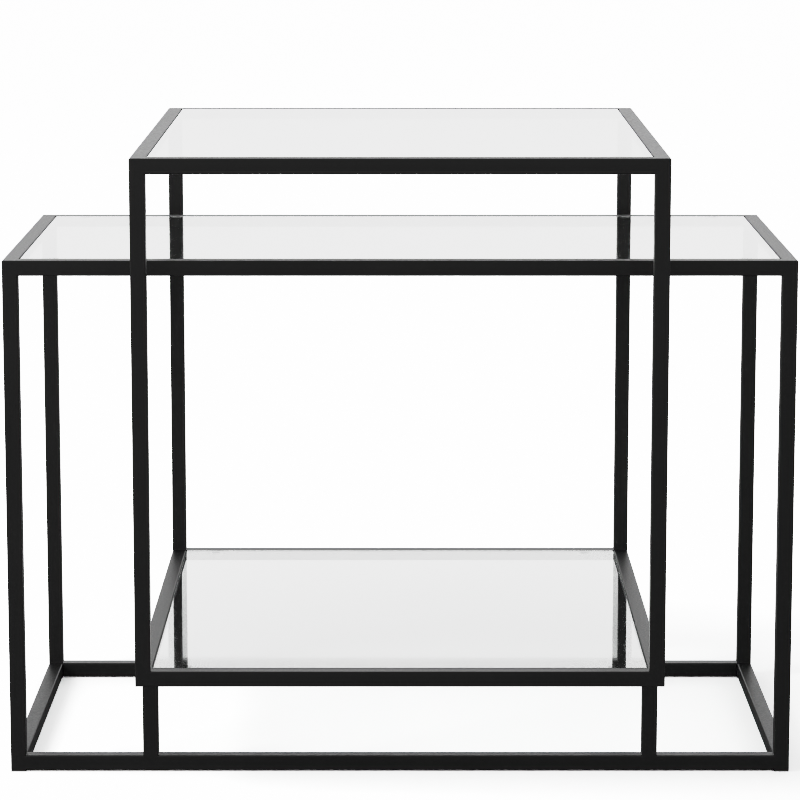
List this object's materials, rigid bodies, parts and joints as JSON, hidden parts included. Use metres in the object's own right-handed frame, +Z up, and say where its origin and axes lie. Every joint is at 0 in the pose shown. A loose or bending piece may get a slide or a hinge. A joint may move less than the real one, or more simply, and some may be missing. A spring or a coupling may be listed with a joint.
{
  "type": "side table",
  "caption": "Glass side table of crossed black square-tube box frames, the taller one carried on short posts inside the wider, with clear glass tops and a low glass shelf.",
  "frame": {"origin": "middle of the footprint, on the floor", "axes": "+Z up; +X along the long side of the lower frame, to the table's right; -Y to the front"},
  "size_m": [0.776, 0.58, 0.622],
  "materials": {
    "black_powder_coat": "satin black powder coat with a fine orange peel",
    "clear_glass": "clear tempered glass with polished, lightly seamed edges",
    "clear_bumper": "translucent soft polymer",
    "cap_plastic": "fine-textured moulded black plastic"
  },
  "bodies": {
    "frame": {"lower_leg_front_left": "black_powder_coat", "lower_leg_front_right": "black_powder_coat", "lower_leg_back_left": "black_powder_coat", "lower_leg_back_right": "black_powder_coat", "lower_bottom_rail_front": "black_powder_coat", "lower_bottom_rail_back": "black_powder_coat", "lower_bottom_rail_left": "black_powder_coat", "lower_bottom_rail_right": "black_powder_coat", "lower_top_rail_front": "black_powder_coat", "lower_top_rail_back": "black_powder_coat", "lower_top_rail_left": "black_powder_coat", "lower_top_rail_right": "black_powder_coat", "riser_post_front_left": "black_powder_coat", "riser_post_front_right": "black_powder_coat", "riser_post_back_left": "black_powder_coat", "riser_post_back_right": "black_powder_coat", "upper_leg_front_left": "black_powder_coat", "upper_leg_front_right": "black_powder_coat", "upper_leg_back_left": "black_powder_coat", "upper_leg_back_right": "black_powder_coat", "upper_bottom_rail_front": "black_powder_coat", "upper_bottom_rail_back": "black_powder_coat", "upper_bottom_rail_left": "black_powder_coat", "upper_bottom_rail_right": "black_powder_coat", "upper_top_rail_front": "black_powder_coat", "upper_top_rail_back": "black_powder_coat", "upper_top_rail_left": "black_powder_coat", "upper_top_rail_right": "black_powder_coat", "top_glass_tabs": "black_powder_coat", "middle_glass_tabs": "black_powder_coat", "shelf_glass_tabs": "black_powder_coat", "top_glass_pads": "clear_bumper", "middle_glass_pads": "clear_bumper", "shelf_glass_pads": "clear_bumper", "foot_cap_front_left": "cap_plastic", "foot_cap_front_right": "cap_plastic", "foot_cap_back_left": "cap_plastic", "foot_cap_back_right": "cap_plastic"},
    "top_panel": {"top_glass": "clear_glass"},
    "middle_panel": {"middle_glass": "clear_glass"},
    "shelf_panel": {"shelf_glass": "clear_glass"}
  },
  "joints": [
    {"name": "top_glass_lift", "type": "slide", "parent": "frame", "child": "top_panel", "axis": [0, 0, 1], "range_m": [0, 0.08]},
    {"name": "middle_glass_lift", "type": "slide", "parent": "frame", "child": "middle_panel", "axis": [0, 0, 1], "range_m": [0, 0.08]},
    {"name": "shelf_glass_lift", "type": "slide", "parent": "frame", "child": "shelf_panel", "axis": [0, 0, 1], "range_m": [0, 0.08]}
  ]
}
